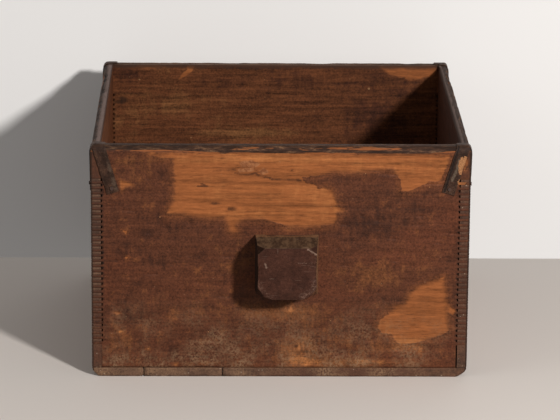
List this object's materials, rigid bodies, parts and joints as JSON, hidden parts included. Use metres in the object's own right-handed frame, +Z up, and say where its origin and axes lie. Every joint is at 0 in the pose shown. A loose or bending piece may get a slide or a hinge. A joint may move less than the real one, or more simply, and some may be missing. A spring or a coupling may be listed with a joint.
{
  "type": "grain measure",
  "caption": "Square open-topped wooden grain measure with comb-jointed corners, planked bottom, front and back gripping blocks and folded corner straps.",
  "frame": {"origin": "middle of the underside, where the box rests", "axes": "+Z up, -Y out of the front gripping block, +X to the right seen from the front"},
  "size_m": [0.327, 0.3932, 0.2061],
  "materials": {
    "lacquered_wood": "dark lacquer worn through to bare wood",
    "rubbed_wood": "rubbed, dusty bare end grain and underside",
    "handle_wood": "dark, smooth from handling, worn edges",
    "strap_hide": "dark lacquered hide, peeled to tan in places",
    "nail_iron": "rust-brown hand-made nail"
  },
  "bodies": {
    "root": {"back_board": "lacquered_wood", "back_handle": "handle_wood", "bottom_nail_back_10": "nail_iron", "bottom_nail_back_11": "nail_iron", "bottom_nail_back_12": "nail_iron", "bottom_nail_back_7": "nail_iron", "bottom_nail_back_8": "nail_iron", "bottom_nail_back_9": "nail_iron", "bottom_nail_front_1": "nail_iron", "bottom_nail_front_2": "nail_iron", "bottom_nail_front_3": "nail_iron", "bottom_nail_front_4": "nail_iron", "bottom_nail_front_5": "nail_iron", "bottom_nail_front_6": "nail_iron", "bottom_nail_left_13": "nail_iron", "bottom_nail_left_14": "nail_iron", "bottom_nail_right_15": "nail_iron", "bottom_nail_right_16": "nail_iron", "bottom_plank_left": "rubbed_wood", "bottom_plank_middle": "rubbed_wood", "bottom_plank_wide": "rubbed_wood", "front_board": "lacquered_wood", "front_handle": "handle_wood", "handle_nail_back_lower": "nail_iron", "handle_nail_back_upper": "nail_iron", "handle_nail_front_lower": "nail_iron", "handle_nail_front_upper": "nail_iron", "left_board": "lacquered_wood", "right_board": "lacquered_wood", "strap_back_left": "strap_hide", "strap_back_right": "strap_hide", "strap_front_left": "strap_hide", "strap_front_right": "strap_hide", "strap_nail_back_left_face": "nail_iron", "strap_nail_back_left_side": "nail_iron", "strap_nail_back_right_face": "nail_iron", "strap_nail_back_right_side": "nail_iron", "strap_nail_front_left_face": "nail_iron", "strap_nail_front_left_side": "nail_iron", "strap_nail_front_right_face": "nail_iron", "strap_nail_front_right_side": "nail_iron"}
  },
  "joints": []
}
